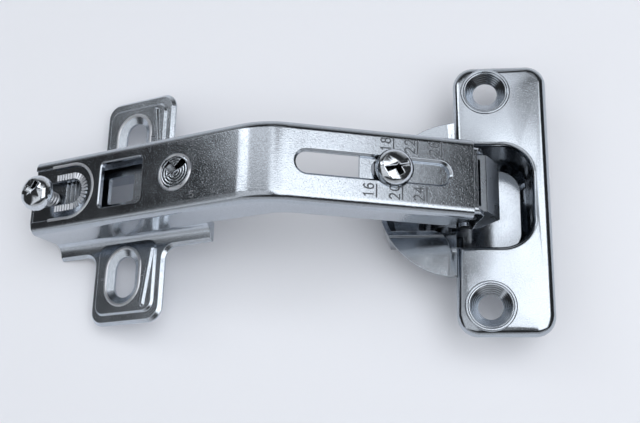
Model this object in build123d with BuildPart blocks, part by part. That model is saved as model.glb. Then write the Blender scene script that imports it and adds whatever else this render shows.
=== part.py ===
"""Concealed cup hinge for an angled door, shown fully open.

X runs along the hinge (arm toward -X), Y across it, Z up.
The origin lies on the axis of the 35 mm bowl, on the floor under it. All sizes in mm.
"""
from build123d import *
from math import atan2, cos, degrees, radians, sin, tan
import os

os.makedirs("parts", exist_ok=True)

# ---- cup ----
bore_radius = 17.45            # everything under the flange fits a 35 mm bore
bowl_depth = 13.0
flange_top = bowl_depth        # the bowl bottom stands on the floor
cup_sheet = 1.0
flange_left, flange_right = -0.95, 19.16
flange_half_length = 30.2
flange_corner = 4.3
flange_height = 1.9
flange_roll, pocket_roll = 1.8, 1.05
screw_hole_x, screw_hole_y = 6.0, 24.0
screw_hole_radius = 2.6
countersink_radius = 4.45
countersink_angle = 96
ear_hollow, ear_hollow_y = (16.6, 14.4), 21.4
pocket_depth = 12.0
floor_top = flange_top - pocket_depth
floor_bevel, bowl_bevel = (1.7, 2.2), 1.1
pocket_right, pocket_half_width = 15.3, 11.25
pocket_corner = 6.5
throat_half_width = 7.5        # narrow part of the pocket, under the arm
throat_right = -0.8
shoulder_top = flange_top - 1.8
shoulder_right = -2.3
step_rise, step_half_length = 0.75, 17.2
ledge_ends = (-7.2, 0.4)

# ---- pivots, open position (x, z) ----
cup_outer_pivot = (-3.0, 8.0)
cup_inner_pivot = (-6.65, 4.58)
arm_outer_pivot = (2.03, 19.79)
arm_inner_pivot = (0.83, 14.65)
pin_radius = 1.2
running_fit = 0.04
cup_pin_reach = 8.5            # the cup's pins end under the shoulder plates

# ---- arm: a right half that rises from the cup, a crank, a left half that falls ----
right_rise = 18.6              # degrees
left_fall = 21.9
arm_end = (2.85, 24.75)        # cup end of the top face (x, z)
right_length = 43.75           # cup end to the crank
left_length = 58.9             # crank to the free end
arm_half_width = 8.45
arm_sheet = 1.1
arm_fold = 2.0
crank_bend = 15.0
right_wall, left_wall = 7.5, 9.3
arm_slot = (5.07, 36.64)       # along the right half, from the cup end
arm_slot_half_width = 2.32
slot_bevel, opening_bevel = 0.45, 0.25
window = (29.2, 40.1)          # along the left half, from the crank
window_half_width = 5.0
pad_start, pad_half_width, pad_depth = 42.6, 6.0, 0.5
fork_half_width, fork_start = 2.6, 45.6
overlay_at = 20.45

# ---- inner arm ----
inner_half_width = 7.2
inner_sheet = 1.0
inner_drop = arm_sheet + 0.04  # top of the inner arm under the top of the outer arm
inner_start, inner_end = -1.2, 23.6
inner_wall = 6.9
length_screw_at = 16.9
shank_slot = (14.6, 21.2)

# ---- links ----
outer_link_half_width, outer_link_sheet = 6.1, 1.05
inner_link_half_width, inner_link_sheet = 4.85, 1.0
eye_radius = 2.3

# ---- mounting plate, under the left half ----
plate_base = -16.2             # from the top face of the arm
plate_sheet = 1.0
channel_ends = (21.4, 63.4)
channel_top = -4.2
channel_top_half_width, channel_foot_half_width = 5.4, 7.3
foot_half_width = 10.4
wing_ends = (33.7, 53.3)
wing_half_width = 26.7
wing_corner, wing_root, wing_bevel = 3.5, 2.6, 0.7
raised_ends, raised_half_width, raised_height = (35.6, 51.9), 24.6, 0.45
slot_at, slot_y = 44.4, 16.0
slot_half_width, slot_half_length = 2.9, 4.7
dish_depth, dish_slope = 0.9, 60
dish_width = dish_depth * tan(radians(dish_slope))
bead_at, bead_y, bead_length, bead_width, bead_height, bead_lean = 37.6, 16.6, 13.8, 1.5, 0.45, 7.5
tongue_half_width = 3.6
wall_start, wall_start_low = 25.0, 22.6    # where the channel's walls begin, under the web and lower down
boss_ends, boss_half_width, boss_top = (46.6, 57.6), 3.4, -1.75
notches, notch_half_width, notch_depth = (48.0, 49.3, 50.6), 0.48, 0.6
web_opening, web_opening_half_width = (34.3, 41.2), 3.05
fixing_at, fixing_y = 53.8, -1.05

# ---- screws ----
pan_head_radius, pan_head_height = 3.85, 2.5
pan_recess, overlay_recess = (2.5, 1.15, 1.7), (3.45, 1.6, 2.4)    # reach from the axis, width, depth
length_shank, fixing_shank = 1.95, 1.5
length_screw_length, fixing_screw_length, fixing_seat = 5.8, 9.5, 3.4
overlay_radius, overlay_hole, overlay_length, overlay_stand = 3.75, 4.05, 4.3, 0.2
nut_length, nut_width, nut_height = 7.0, 7.6, 2.4

cos_r, sin_r = cos(radians(right_rise)), sin(radians(right_rise))
cos_l, sin_l = cos(radians(left_fall)), sin(radians(left_fall))
crank_angle = radians(right_rise + left_fall)
crank = (arm_end[0] - right_length * cos_r, arm_end[1] + right_length * sin_r)

right_plane = Plane(origin=(arm_end[0], 0, arm_end[1]), x_dir=(cos_r, 0, -sin_r), z_dir=(sin_r, 0, cos_r))
left_plane = Plane(origin=(crank[0], 0, crank[1]), x_dir=(cos_l, 0, sin_l), z_dir=(-sin_l, 0, cos_l))


def on_right(t, n):
    """(x, z) of a point t from the cup end along the right half and n above its top face."""
    return (arm_end[0] - t * cos_r + n * sin_r, arm_end[1] + t * sin_r + n * cos_r)


def on_left(t, n):
    """(x, z) of a point t from the crank along the left half and n above its top face."""
    return (crank[0] - t * cos_l - n * sin_l, crank[1] - t * sin_l + n * cos_l)


def crank_corner(right_n, left_n):
    """(x, z) where a line right_n over the right half meets one left_n over the left half."""
    past = (left_n - right_n * cos(crank_angle)) / sin(crank_angle)
    return on_right(right_length + past, right_n)


def outline(plane, points, rounds=()):
    """A closed face on a plane; rounds lists (corner number, radius)."""
    with BuildSketch(plane) as face:
        with BuildLine():
            Polyline(*points, close=True)
        make_face()
        for corner, radius in rounds:
            spot = Vector(*points[corner])
            fillet(face.vertices().sort_by_distance(spot)[:1], radius)
    return face.sketch


def disc(x, z, radius):
    """A round face in the side plane, to be extruded across the hinge."""
    with BuildSketch(Plane.XZ) as face:
        with Locations((x, z)):
            Circle(radius)
    return face.sketch


def edges_at_width(part, half_width, low_normal=0.7):
    """Edges of the upward faces that lie at +-half_width across the part."""
    tops = part.faces().filter_by(lambda face: face.normal_at().Z > low_normal)
    return tops.edges().filter_by(lambda edge: abs(abs(edge.center().Y) - half_width) < 0.02)


def roll(radius):
    """(rise, run) of the three flat facets that follow a quarter round, from upright to level."""
    ends = [(radius * sin(radians(30 * i)), radius * (1 - cos(radians(30 * i)))) for i in range(4)]
    return [(b[0] - a[0], b[1] - a[1]) for a, b in zip(ends, ends[1:])]


# ================= cup =================
def pocket_corners(grow, left, step):
    """The pocket seen from above, grown outward by grow; it widens at step."""
    right = pocket_right + grow
    wide = pocket_half_width + grow
    narrow = throat_half_width + grow
    step = step - grow
    return [(left, -narrow), (step, -narrow), (step, -wide), (right, -wide),
            (right, wide), (step, wide), (step, narrow), (left, narrow)]


down = Plane(origin=(0, 0, flange_top), x_dir=(1, 0, 0), z_dir=(0, 0, -1))
with BuildPart() as cup:
    # flange: two ears joined behind the pocket, the edges rolled over
    with BuildSketch(Plane.XY.offset(flange_top - flange_height)):
        with Locations(((flange_left + flange_right) / 2, 0)):
            RectangleRounded(flange_right - flange_left, 2 * flange_half_length, flange_corner)
    extrude(amount=flange_height - flange_roll)
    for rise, run in roll(flange_roll):
        extrude(cup.faces().sort_by(Axis.Z)[-1], amount=rise, taper=degrees(atan2(run, rise)))
    with BuildSketch(Plane.XY.offset(flange_top - flange_height)) as gap:
        with BuildLine():
            Polyline(*pocket_corners(0, -20, -19), close=True)
        make_face()
        fillet(gap.vertices().group_by(Axis.X)[-1], pocket_corner)
    opening = extrude(amount=flange_height - pocket_roll, mode=Mode.SUBTRACT)
    for rise, run in roll(pocket_roll):
        opening = extrude(opening.faces().sort_by(Axis.Z)[-1], amount=rise,
                          taper=-degrees(atan2(run, rise)), mode=Mode.SUBTRACT)
    # shoulder plates and the step up to the flange
    with BuildSketch(Plane.XY.offset(shoulder_top - cup_sheet)):
        Circle(bore_radius)
        with Locations((10, 0)):
            Rectangle(18, 40, mode=Mode.SUBTRACT)
    extrude(amount=cup_sheet)
    step_top, inside = shoulder_top + step_rise, flange_left + 2.45
    step = [(shoulder_right, shoulder_top), (flange_left + 0.1, step_top), (inside, step_top),
            (inside, shoulder_top - cup_sheet), (shoulder_right, shoulder_top - cup_sheet)]
    extrude(outline(Plane.XZ, step), amount=step_half_length, both=True)
    # bowl
    with BuildSketch(down.offset(cup_sheet)) as bowl_face:
        with BuildLine():
            Polyline(*pocket_corners(cup_sheet, -20, throat_right), close=True)
        make_face()
        fillet(bowl_face.vertices().group_by(Axis.X)[-1], pocket_corner + cup_sheet)
        Circle(bore_radius, mode=Mode.INTERSECT)
    extrude(amount=bowl_depth - cup_sheet)
    chamfer(cup.faces().sort_by(Axis.Z)[0].edges(), bowl_bevel)
    # ledge under the flare of the throat
    with BuildSketch(Plane.XY.offset(shoulder_top - 2 * cup_sheet)):
        with Locations((sum(ledge_ends) / 2, 0)):
            Rectangle(ledge_ends[1] - ledge_ends[0], 2 * pocket_half_width + 2)
    extrude(amount=cup_sheet + 0.1)
    # pocket, with a rounded floor
    with BuildSketch(down) as pocket_face:
        with BuildLine():
            Polyline(*pocket_corners(0, -20, throat_right), close=True)
        make_face()
        fillet(pocket_face.vertices().group_by(Axis.X)[-1], pocket_corner)
        Circle(bore_radius - cup_sheet, mode=Mode.INTERSECT)
    extrude(amount=pocket_depth, mode=Mode.SUBTRACT)
    floor = cup.faces().filter_by(Axis.Z).filter_by(lambda f: abs(f.center().Z - floor_top) < 0.01)
    chamfer(floor.edges(), *floor_bevel, reference=floor[0])
    # the throat flares out above the shoulder plates
    with BuildSketch(down) as flare_face:
        with BuildLine():
            Polyline(*pocket_corners(0, -14, shoulder_right), close=True)
        make_face()
        fillet(flare_face.vertices().filter_by(lambda v: abs(v.X - shoulder_right) < 0.1 and abs(v.Y) < 9),
               pocket_half_width - throat_half_width - 0.1)
        fillet(flare_face.vertices().group_by(Axis.X)[-1], pocket_corner)
    extrude(amount=flange_top - shoulder_top + cup_sheet, mode=Mode.SUBTRACT)
    # hollow under each ear, with the sheet pressed down round the screw hole
    with BuildSketch(Plane.XY.offset(flange_top - flange_height)):
        for side in (-1, 1):
            with Locations(((flange_left + flange_right) / 2, side * ear_hollow_y)):
                Rectangle(ear_hollow[0], ear_hollow[1])
            with Locations((screw_hole_x, side * screw_hole_y)):
                RegularPolygon(countersink_radius + 1.0, 12, mode=Mode.SUBTRACT)
    extrude(amount=flange_height - cup_sheet, mode=Mode.SUBTRACT)
    for side in (-1, 1):
        with Locations((screw_hole_x, side * screw_hole_y, flange_top)):
            CounterSinkHole(screw_hole_radius, countersink_radius, depth=4, counter_sink_angle=countersink_angle)
    # pivot bores
    for pivot in (cup_outer_pivot, cup_inner_pivot):
        extrude(disc(*pivot, pin_radius), amount=9.5, both=True, mode=Mode.SUBTRACT)
cup.part.label = "cup"

export_step(cup.part, "parts/cup.step")


def bar(label, pivot, half_length):
    """A pin across the hinge."""
    with BuildPart() as pin:
        extrude(disc(*pivot, pin_radius), amount=half_length, both=True)
    pin.part.label = label
    export_step(pin.part, f"parts/{label}.step")


# ================= cup pivots =================
bar("cup_pin", cup_inner_pivot, cup_pin_reach)
for name, side in (("cup_rivet_front", -1), ("cup_rivet_rear", 1)):
    with BuildPart() as rivet:
        inside = inner_link_half_width + 0.1
        face = disc(*cup_outer_pivot, pin_radius).moved(Location((0, side * inside, 0)))
        extrude(face, amount=cup_pin_reach - inside, dir=(0, side, 0))
    rivet.part.label = name
    export_step(rivet.part, f"parts/{name}.step")


# ================= links =================
def channel(label, face, inner_face, half_width, sheet, bores):
    """A folded U link: the side outline across the full width, less the gap between its cheeks."""
    with BuildPart() as link:
        extrude(face, amount=half_width, both=True)
        extrude(inner_face, amount=half_width - sheet, both=True, mode=Mode.SUBTRACT)
        for x, z in bores:
            extrude(disc(x, z, pin_radius + running_fit), amount=half_width + 1, both=True, mode=Mode.SUBTRACT)
    link.part.label = label
    return link


def eye(x, z):
    """The rounded end of a link round one of its bores."""
    with BuildSketch(Plane.XZ) as face:
        with Locations((x, z)):
            RegularPolygon(eye_radius, 16)
    return face.sketch


# outer link: its web closes the cup side, its cheeks pass round the inner link's arm pin
web_top, web_low = (5.5, 20.6), (8.4, 15.0)
cheek = outline(Plane.XZ, [(1.0, 21.7), (3.6, 21.2), web_top, web_low, (4.4, 9.2), (-2.2, 5.85), (-4.4, 9.75),
                           (2.2, 13.1), (3.9, 14.9), (3.2, 17.0), (0.2, 18.6)],
                [(2, 0.6), (3, 1.2)])
cheek = cheek + eye(*cup_outer_pivot) + eye(*arm_outer_pivot)
gap = outline(Plane.XZ, [(-8, 24), (web_top[0] - 1.3, 24), (web_top[0] - 1.3, web_top[1] - 0.4),
                         (web_low[0] - 1.25, web_low[1] - 0.1), (6.4, 12.9), (-2.0, 2.0), (-8, 2.0)])
outer_link = channel("outer_link", cheek, gap, outer_link_half_width, outer_link_sheet,
                     (cup_outer_pivot, arm_outer_pivot))
export_step(outer_link.part, "parts/outer_link.step")

# inner link: a straight U strap, web on its upper side
rise = Vector(arm_inner_pivot[0] - cup_inner_pivot[0], arm_inner_pivot[1] - cup_inner_pivot[1])
along = rise.normalized()
beside = Vector(-along.Y, along.X)


def on_link(u, v):
    """(x, z) of a point u along the inner link from the cup pin and v above its centre line."""
    spot = Vector(*cup_inner_pivot) + along * u + beside * v
    return (spot.X, spot.Y)


strap = outline(Plane.XZ, [on_link(0, -eye_radius), on_link(rise.length, -eye_radius),
                           on_link(rise.length, eye_radius), on_link(0, eye_radius)])
strap = strap + eye(*cup_inner_pivot) + eye(*arm_inner_pivot)
strap_gap = outline(Plane.XZ, [on_link(-5, -6), on_link(rise.length + 5, -6), on_link(rise.length + 5, 4),
                               on_link(rise.length - 2.6, 4), on_link(rise.length - 2.6, 1.3),
                               on_link(2.6, 1.3), on_link(2.6, 4), on_link(-5, 4)])
inner_link = channel("inner_link", strap, strap_gap, inner_link_half_width, inner_link_sheet,
                     (cup_inner_pivot, arm_inner_pivot))
export_step(inner_link.part, "parts/inner_link.step")

# ================= inner arm =================
top_n = -inner_drop
with BuildPart() as inner_arm:
    side = outline(Plane.XZ, [on_right(inner_start, top_n), on_right(inner_end, top_n),
                              on_right(inner_end, -inner_wall), on_right(5.4, -inner_wall),
                              on_right(1.6, -12.6), on_right(-4.0, -12.6), on_right(-3.2, -8.0),
                              on_right(-3.0, -3.0)],
                   [(2, 1.5), (4, 2.4)])
    extrude(side, amount=inner_half_width, both=True)
    fillet(edges_at_width(inner_arm, inner_half_width), 1.2)
    hollow = outline(Plane.XZ, [on_right(-8, top_n - inner_sheet), on_right(inner_end + 5, top_n - inner_sheet),
                                on_right(inner_end + 5, -20), on_right(-8, -20)])
    extrude(hollow, amount=inner_half_width - inner_sheet, both=True, mode=Mode.SUBTRACT)
    # the web stops short of the eyes
    nose = outline(Plane.XZ, [on_right(inner_start, 0), on_right(-8, 0), on_right(-8, -6), on_right(inner_start, -6)])
    extrude(nose, amount=inner_half_width - inner_sheet, both=True, mode=Mode.SUBTRACT)
    # slot for the length screw
    with BuildSketch(right_plane.offset(top_n)):
        with Locations((-sum(shank_slot) / 2, 0)):
            SlotOverall(shank_slot[1] - shank_slot[0], 2 * length_shank + 0.6)
    extrude(amount=-inner_sheet - 0.1, mode=Mode.SUBTRACT)
    for pivot in (arm_outer_pivot, arm_inner_pivot):
        extrude(disc(*pivot, pin_radius), amount=10, both=True, mode=Mode.SUBTRACT)
inner_arm.part.label = "inner_arm"
export_step(inner_arm.part, "parts/inner_arm.step")
bar("arm_pin_upper", arm_outer_pivot, inner_half_width - 0.02)
bar("arm_pin_lower", arm_inner_pivot, inner_half_width + 0.4)

# ================= outer arm =================
def around_slot(spot):
    """True for a point on the edge of the slot in the top face of the right half."""
    local = right_plane.to_local_coords(spot)
    return abs(local.Z) < 0.02 and arm_slot[0] - 1 < -local.X < arm_slot[1] + 1 and abs(spot.Y) < 5.5


def around_window(spot):
    """True for a point on the edge of the window in the top face of the left half."""
    local = left_plane.to_local_coords(spot)
    return abs(local.Z) < 0.02 and window[0] - 0.5 < -local.X < window[1] + 0.5 and abs(spot.Y) < 5.5


with BuildPart() as outer_arm:
    side = outline(Plane.XZ, [on_right(0, 0), crank, on_left(left_length, 0), on_left(left_length + 0.7, -left_wall),
                              crank_corner(-right_wall, -left_wall), on_right(3.6, -right_wall), on_right(0, -1.6)],
                   [(1, crank_bend), (3, 1.2), (4, 8.0), (5, 2.0)])
    extrude(side, amount=arm_half_width, both=True)
    fillet(edges_at_width(outer_arm, arm_half_width), arm_fold)
    inner_crank = crank_corner(-arm_sheet, -arm_sheet)
    hollow = outline(Plane.XZ, [on_right(-4, -arm_sheet), inner_crank, on_left(left_length + 4, -arm_sheet),
                                on_left(left_length + 4, -25), on_right(-4, -25)],
                     [(1, crank_bend - arm_sheet)])
    extrude(hollow, amount=arm_half_width - arm_sheet, both=True, mode=Mode.SUBTRACT)
    with BuildSketch(right_plane):
        with Locations((-sum(arm_slot) / 2, 0)):
            SlotOverall(arm_slot[1] - arm_slot[0], 2 * arm_slot_half_width)
    extrude(amount=-2, mode=Mode.SUBTRACT)
    with BuildSketch(left_plane):
        with Locations((-sum(window) / 2, 0)):
            RectangleRounded(window[1] - window[0], 2 * window_half_width, 1.0)
        with Locations((-overlay_at, 0)):
            Circle(overlay_hole)
    extrude(amount=-2, mode=Mode.SUBTRACT)
    # pad pressed down under the fixing screw, with an open fork in it
    pad_length = left_length - pad_start
    with BuildSketch(left_plane) as pad:
        with Locations((-pad_start - pad_length / 2 - 4, 0)):
            Rectangle(pad_length + 8, 2 * pad_half_width)
        fillet(pad.vertices().group_by(Axis.X)[-1], pad_half_width - 0.6)
    extrude(amount=-pad_depth, mode=Mode.SUBTRACT)
    with BuildSketch(left_plane.offset(-arm_sheet)) as pad_under:
        with Locations((-pad_start - pad_length / 2 + 0.2, 0)):
            Rectangle(pad_length + 0.4, 2 * pad_half_width + 0.6)
        fillet(pad_under.vertices().group_by(Axis.X)[-1], pad_half_width - 0.6)
    extrude(amount=-pad_depth)
    with BuildSketch(left_plane) as fork:
        with Locations((-fork_start - 10, 0)):
            Rectangle(20, 2 * fork_half_width)
        fillet(fork.vertices().group_by(Axis.X)[-1], fork_half_width - 0.02)
    extrude(amount=-4, mode=Mode.SUBTRACT)
    chamfer(outer_arm.edges().filter_by(lambda e: around_slot(e.center())), slot_bevel)
    chamfer(outer_arm.edges().filter_by(lambda e: around_window(e.center())), opening_bevel)
outer_arm.part.label = "outer_arm"
export_step(outer_arm.part, "parts/outer_arm.step")

# ================= mounting plate =================
foot_top = plate_base + plate_sheet
start, stop = channel_ends
section_plane = Plane(origin=left_plane.from_local_coords(Vector(-stop, 0, 0)),
                      x_dir=(0, 1, 0), z_dir=left_plane.x_dir)
with BuildPart() as mounting_plate:
    shell = [(-foot_half_width, plate_base), (foot_half_width, plate_base), (foot_half_width, foot_top),
             (channel_foot_half_width, foot_top), (channel_top_half_width, channel_top),
             (-channel_top_half_width, channel_top), (-channel_foot_half_width, foot_top),
             (-foot_half_width, foot_top)]
    extrude(outline(section_plane, shell, [(3, 3.0), (4, 1.3), (5, 1.3), (6, 3.0)]), amount=stop - start)
    # wings, blended into the feet of the channel
    with BuildSketch(left_plane.offset(plate_base)) as footprint:
        with Locations((-sum(wing_ends) / 2, 0)):
            RectangleRounded(wing_ends[1] - wing_ends[0], 2 * wing_half_width, wing_corner)
        with Locations((-(start + stop) / 2, 0)):
            Rectangle(stop - start, 2 * foot_half_width)
        roots = footprint.vertices().filter_by(lambda v: wing_ends[0] - 1 < -v.X < wing_ends[1] + 1)
        fillet(roots.filter_by(lambda v: abs(v.Y) < foot_half_width + 0.1), wing_root)
    extrude(amount=plate_sheet)
    top_faces = mounting_plate.faces().filter_by(lambda f: f.normal_at().Z > 0.9)
    chamfer(top_faces.edges().filter_by(lambda e: abs(e.center().Y) > foot_half_width + 0.3), wing_bevel)
    # raised middle of each wing, with a stiffening bead on the cup side
    with BuildSketch(left_plane.offset(foot_top - 0.05)):
        for side in (-1, 1):
            with Locations((-sum(raised_ends) / 2, side * raised_half_width / 2 + side * 4)):
                RectangleRounded(raised_ends[1] - raised_ends[0], raised_half_width - 8, 2.6)
    extrude(amount=raised_height + 0.05, taper=45)
    with BuildSketch(left_plane.offset(foot_top + raised_height - 0.05)) as beads:
        for side in (-1, 1):
            with Locations((-bead_at, side * bead_y)):
                Rectangle(bead_length, bead_width, rotation=90 + side * bead_lean)
        chamfer(beads.vertices(), bead_width / 3)
    extrude(amount=bead_height + 0.05, taper=42)
    inside = [(-channel_foot_half_width + 0.9, plate_base - 1), (channel_foot_half_width - 0.9, plate_base - 1),
              (channel_top_half_width - plate_sheet, channel_top - plate_sheet),
              (-channel_top_half_width + plate_sheet, channel_top - plate_sheet)]
    extrude(outline(section_plane, inside), amount=stop - start, mode=Mode.SUBTRACT)
    # boss that carries the fixing screw
    with BuildSketch(left_plane.offset(channel_top - plate_sheet)):
        with Locations((-sum(boss_ends) / 2, 0)):
            RectangleRounded(boss_ends[1] - boss_ends[0], 2 * boss_half_width, 0.8)
    extrude(amount=boss_top - channel_top + plate_sheet)
    with BuildSketch(left_plane):
        with Locations((-sum(web_opening) / 2, 0)):
            RectangleRounded(web_opening[1] - web_opening[0], 2 * web_opening_half_width, 0.6)
        with Locations((-fixing_at, fixing_y)):
            Circle(fixing_shank + running_fit)
    extrude(amount=-9, mode=Mode.SUBTRACT)
    # slots dished for screw heads
    with BuildSketch(left_plane.offset(foot_top + raised_height)):
        for side in (-1, 1):
            with Locations((-slot_at, side * slot_y)):
                SlotOverall(2 * (slot_half_length + dish_width), 2 * (slot_half_width + dish_width), rotation=90)
    extrude(amount=-dish_depth, taper=dish_slope, mode=Mode.SUBTRACT)
    with BuildSketch(left_plane.offset(plate_base)):
        for side in (-1, 1):
            with Locations((-slot_at, side * slot_y)):
                SlotOverall(2 * slot_half_length, 2 * slot_half_width, rotation=90)
    extrude(amount=plate_sheet + 1, mode=Mode.SUBTRACT)
    # the walls stop short at the crank end, where a tongue of the web reaches under the overlay screw
    relief = outline(Plane.XZ, [on_left(start - 3, -3), on_left(wall_start, -3), on_left(wall_start, -9.6),
                                on_left(wall_start_low, -12.6), on_left(start - 3, -12.6)], [(2, 1.5)])
    for side in (-1, 1):
        extrude(relief.moved(Location((0, side * tongue_half_width, 0))), amount=9, dir=(0, side, 0),
                mode=Mode.SUBTRACT)
    # notches across the boss
    for at in notches:
        notch = outline(Plane.XZ, [on_left(at - notch_half_width, boss_top), on_left(at, boss_top - notch_depth),
                                   on_left(at + notch_half_width, boss_top)])
        extrude(notch, amount=boss_half_width + 1, both=True, mode=Mode.SUBTRACT)
mounting_plate.part.label = "mounting_plate"
export_step(mounting_plate.part, "parts/mounting_plate.step")


# ================= screws =================
def cross_recess(plane, size, turn):
    """The two crossed wedges that a screwdriver fits, cut down from the plane into the open part."""
    reach, width, depth = size
    for quarter in (turn, turn + 90):
        arm = plane.rotated((0, 0, quarter))
        wedge = outline(Plane(origin=arm.origin, x_dir=arm.x_dir, z_dir=arm.y_dir),
                        [(-reach, 0), (reach, 0), (0.55 * reach, depth), (-0.55 * reach, depth)])
        extrude(wedge, amount=width / 2, both=True, mode=Mode.SUBTRACT)


def pan_screw(label, plane, shank_radius, shank_length, turn):
    """A domed pan head on the plane with its shank below it and a cross recess."""
    rim, top = pan_head_radius, pan_head_height
    profile = outline(Plane.XZ, [(0, -shank_length), (shank_radius, -shank_length), (shank_radius, 0), (rim, 0),
                                 (rim, 0.45 * top), (rim - 0.35, 0.75 * top), (rim - 1.15, top), (0, top)])
    with BuildPart() as screw:
        add(plane.location * revolve(profile, Axis.Z, mode=Mode.PRIVATE))
        cross_recess(plane.offset(top), pan_recess, turn)
    screw.part.label = label
    export_step(screw.part, f"parts/{label}.step")
    return screw.part


def screw_plane(plane, t, y, n):
    """A plane on the axis of a screw, n above the top face of the arm."""
    seat = plane.from_local_coords(Vector(-t, y, n))
    return Plane(origin=seat, x_dir=plane.x_dir, z_dir=plane.z_dir)


pan_screw("length_screw", screw_plane(right_plane, length_screw_at, 0, 0.03), length_shank,
          length_screw_length, 28)
pan_screw("fixing_screw", screw_plane(left_plane, fixing_at, fixing_y, fixing_seat), fixing_shank,
          fixing_screw_length, 60)

with BuildPart() as length_screw_nut:
    with BuildSketch(right_plane.offset(top_n - inner_sheet - 0.02)):
        with Locations((-length_screw_at, 0)):
            Rectangle(nut_length, nut_width)
            Circle(length_shank + 0.02, mode=Mode.SUBTRACT)
    extrude(amount=-nut_height)
length_screw_nut.part.label = "length_screw_nut"
export_step(length_screw_nut.part, "parts/length_screw_nut.step")

overlay_top = screw_plane(left_plane, overlay_at, 0, overlay_stand)
with BuildPart() as overlay_screw:
    with BuildSketch(overlay_top):
        Circle(overlay_radius)
    extrude(amount=-overlay_length)
    cross_recess(overlay_top, overlay_recess, 45)
overlay_screw.part.label = "overlay_screw"
export_step(overlay_screw.part, "parts/overlay_screw.step")
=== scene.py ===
"""Looks of the concealed cup hinge: nickel finishes, stamped and rolled detail, and a plain studio.

Places on the arm are given in millimetres along it (t), across it (y) and above its top face (n), as in
the CAD source. The sizes of the small detail are in millimetres too. What the scene gets is in metres,
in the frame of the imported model.
"""
import math
from collections import namedtuple

import bmesh
import bpy
from bpy.props import FloatProperty, FloatVectorProperty, IntProperty, PointerProperty
from bpy.types import Operator, Panel, PropertyGroup
from mathutils import Matrix, Vector


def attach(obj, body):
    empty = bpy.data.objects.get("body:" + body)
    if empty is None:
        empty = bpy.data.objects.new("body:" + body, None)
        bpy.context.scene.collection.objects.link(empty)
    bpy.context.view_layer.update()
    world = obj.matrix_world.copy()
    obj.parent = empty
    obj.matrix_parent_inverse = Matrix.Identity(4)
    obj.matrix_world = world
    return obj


bl_info = {
    "name": "Cup hinge looks",
    "version": (1, 0, 0),
    "blender": (4, 5, 0),
    "location": "View3D > Sidebar > Hinge",
    "description": "Dresses the packed cup hinge in nickel and sets it on a pale floor",
    "category": "Object",
}

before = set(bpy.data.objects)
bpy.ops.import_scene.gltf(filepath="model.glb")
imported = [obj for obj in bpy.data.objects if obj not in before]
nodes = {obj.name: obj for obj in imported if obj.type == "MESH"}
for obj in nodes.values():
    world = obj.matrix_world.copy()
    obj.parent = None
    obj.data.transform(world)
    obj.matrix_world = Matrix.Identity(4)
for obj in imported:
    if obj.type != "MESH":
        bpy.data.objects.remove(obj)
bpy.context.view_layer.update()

MM = 0.001

# ---------------------------------------------------------------- the arm and the places on it
RIGHT_RISE = math.radians(18.6)
LEFT_FALL = math.radians(21.9)
ARM_END = Vector((2.85, 0, 24.75)) * MM
RIGHT_LENGTH = 43.75 * MM
ACROSS = Vector((0, 1, 0))

# a half of the arm: where t is 0, the direction of t, the direction of n
Half = namedtuple("Half", "start along up")
RIGHT = Half(ARM_END,
             Vector((-math.cos(RIGHT_RISE), 0, math.sin(RIGHT_RISE))),
             Vector((math.sin(RIGHT_RISE), 0, math.cos(RIGHT_RISE))))
LEFT = Half(ARM_END + RIGHT.along * RIGHT_LENGTH,
            Vector((-math.cos(LEFT_FALL), 0, -math.sin(LEFT_FALL))),
            Vector((-math.sin(LEFT_FALL), 0, math.cos(LEFT_FALL))))

HOLE_AT = (6.0, 24.0)       # x and y of a screw hole of the cup
FLANGE_LEVEL = 13.0         # z of the flange's upper face
OVERLAY_AT = 20.45          # t of the overlay screw on the left half
SLOT_AT = (44.4, 16.0)      # t and y of the middle of a wing's slot
WING_FACE = -14.75          # n of the wings' upper face
FORK_CENTRE = 48.2          # t of the middle of the fork's bow
PAD_FACE = -0.5             # n of the sunk pad round the fork
FIXING_SCREW = (53.8, -1.05)    # t and y of its axis


def on_arm(half, t, y, n=0.0):
    """The point t along a half of the arm, y across it and n above it."""
    return half.start + (half.along * t + ACROSS * y + half.up * n) * MM


def on_flange(u, v, high):
    """Lays flat points on the flange of the cup: u is x and v is y."""
    return Vector((u, v, FLANGE_LEVEL + high)) * MM


def on_right(u, v, high):
    """Lays flat points on the right half of the arm: u across it, v along it."""
    return on_arm(RIGHT, v, u, high)


def on_left(u, v, high):
    """Lays flat points on the left half of the arm: u across it, v along it."""
    return on_arm(LEFT, v, u, high)


def on_wings(u, v, high):
    """Lays flat points on the wings of the mounting plate."""
    return on_arm(LEFT, v, u, WING_FACE + high)


def on_pad(u, v, high):
    """Lays flat points on the sunk pad round the fork."""
    return on_arm(LEFT, v, u, PAD_FACE + high)


# ---------------------------------------------------------------- settings
class HingeFinish(PropertyGroup):
    nickel: FloatVectorProperty(name="Nickel", description="Colour of the plated sheet", subtype="COLOR",
                                size=3, min=0, max=1, default=(0.47, 0.51, 0.56))
    bright: FloatVectorProperty(name="Bright nickel", description="Colour of the screws", subtype="COLOR",
                                size=3, min=0, max=1, default=(0.66, 0.70, 0.75))
    dull: FloatVectorProperty(name="Dull steel", description="Colour of the links and pins",
                              subtype="COLOR", size=3, min=0, max=1, default=(0.33, 0.36, 0.40))
    grain: FloatProperty(name="Grain", description="Width of the peel in the plating",
                         subtype="DISTANCE", unit="LENGTH", min=0.00005, default=0.0002)
    grain_depth: FloatProperty(name="Grain depth", description="Depth of the peel in the plating",
                               subtype="DISTANCE", unit="LENGTH", min=0, default=0.000006)
    pit_depth: FloatProperty(name="Pit depth", description="Depth of the scattered pits in the plating",
                             subtype="DISTANCE", unit="LENGTH", min=0, default=0.000005)
    roughness: FloatProperty(name="Roughness", description="Roughness of the plated sheet",
                             min=0, max=1, default=0.13)
    edge: FloatProperty(name="Edge", description="Width of the worn, rounded edges",
                        subtype="DISTANCE", unit="LENGTH", min=0.00001, default=0.00018)


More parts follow.
